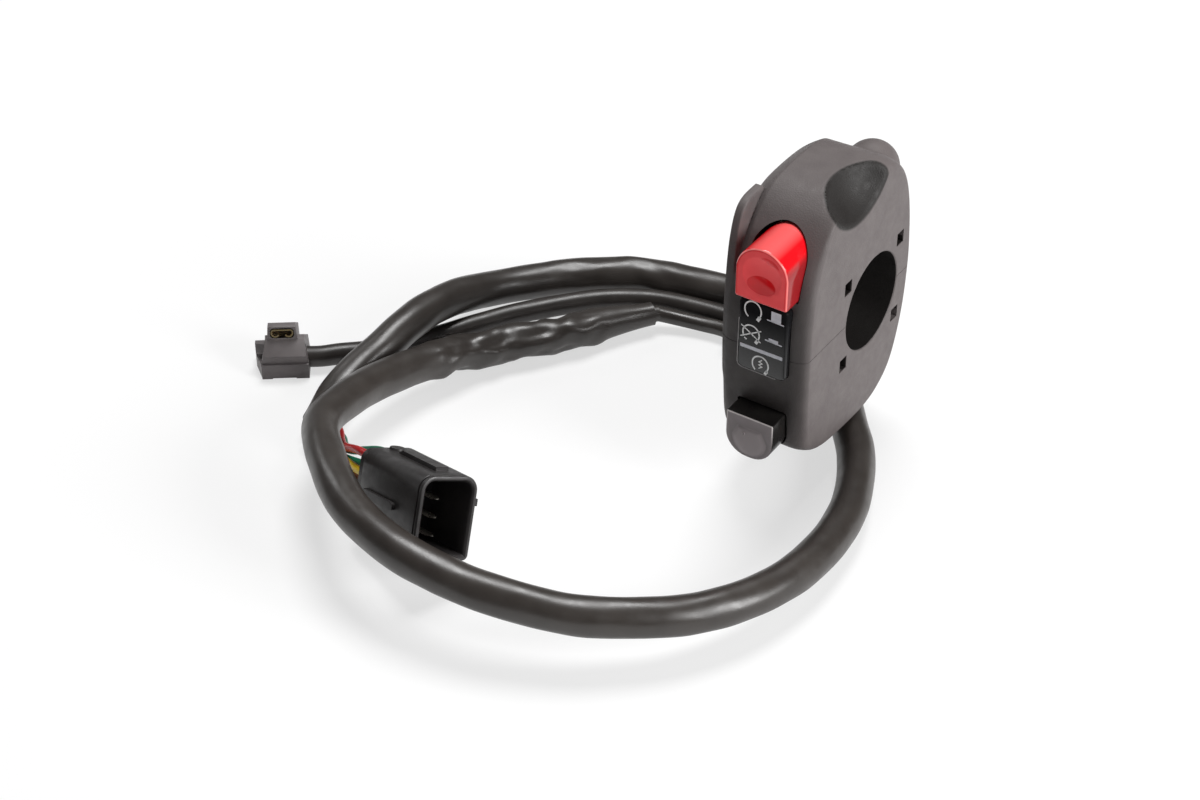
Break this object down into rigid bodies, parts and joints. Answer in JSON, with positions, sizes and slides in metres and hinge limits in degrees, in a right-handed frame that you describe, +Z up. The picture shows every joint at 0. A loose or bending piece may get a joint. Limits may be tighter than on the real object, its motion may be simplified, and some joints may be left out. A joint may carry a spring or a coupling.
{
  "type": "handlebar switch cluster",
  "caption": "Clamp-on handlebar switch housing with a kill knob, a start button and a wiring harness ending in a wide and a small connector.",
  "frame": {"origin": "on the handlebar's axis, in the plane of the housing's flat side face", "axes": "+X along the bar out of the flat side face, -Y to the front with the knob and the button, +Z up"},
  "size_m": [0.1499, 0.1398, 0.0708],
  "materials": {
    "housing_plastic": "fine grained matt",
    "legend_black": "satin, printed symbols",
    "knob_red": "gloss, satin front",
    "button_black": "satin",
    "module_plastic": "satin",
    "brass": "stamped",
    "tinned_brass": "tinned",
    "copper": "stamped",
    "screw_steel": "zinc plated",
    "spring_steel": "drawn wire",
    "wire_insulation": "satin, several colours",
    "tie_nylon": "satin",
    "boot_rubber": "matt",
    "sleeve_vinyl": "satin, finely wrinkled",
    "connector_black": "semi-gloss"
  },
  "bodies": {
    "cluster": {"upper_housing": "housing_plastic", "lower_housing": "housing_plastic", "legend_plate": "legend_black", "case_screws": "screw_steel", "case_inserts": "brass", "kill_spring": "spring_steel", "kill_base": "module_plastic", "kill_contacts": "brass", "kill_latch_pin": "spring_steel", "start_spring": "spring_steel", "start_base": "module_plastic", "start_contacts": "brass", "base_screws": "screw_steel", "housing_wires": "wire_insulation", "strain_tie": "tie_nylon", "outlet_grommet": "boot_rubber", "main_sleeve": "sleeve_vinyl", "trunk_tape": "sleeve_vinyl", "splice_boot": "boot_rubber", "branch_sleeve": "sleeve_vinyl", "accessory_lead": "sleeve_vinyl", "wide_connector_shell": "connector_black", "wide_connector_pins": "tinned_brass", "wide_connector_seals": "boot_rubber", "wide_connector_wires": "wire_insulation", "small_connector_body": "connector_black", "small_connector_terminal": "brass"},
    "kill_push": {"kill_knob": "knob_red", "kill_plunger": "module_plastic", "kill_bridge_contact": "copper", "kill_retaining_ring": "screw_steel"},
    "start_push": {"start_button": "button_black", "start_plunger": "module_plastic", "start_bridge_contact": "copper", "start_retaining_ring": "screw_steel"}
  },
  "joints": [
    {"name": "kill_slide", "type": "slide", "parent": "cluster", "child": "kill_push", "axis": [0, 1, 0], "range_m": [0, 0.004], "deforming": ["kill_spring"]},
    {"name": "start_slide", "type": "slide", "parent": "cluster", "child": "start_push", "axis": [0, 1, 0], "range_m": [0, 0.003], "stiffness_N_per_m": 600, "springref_m": -0.003, "deforming": ["start_spring"]}
  ]
}
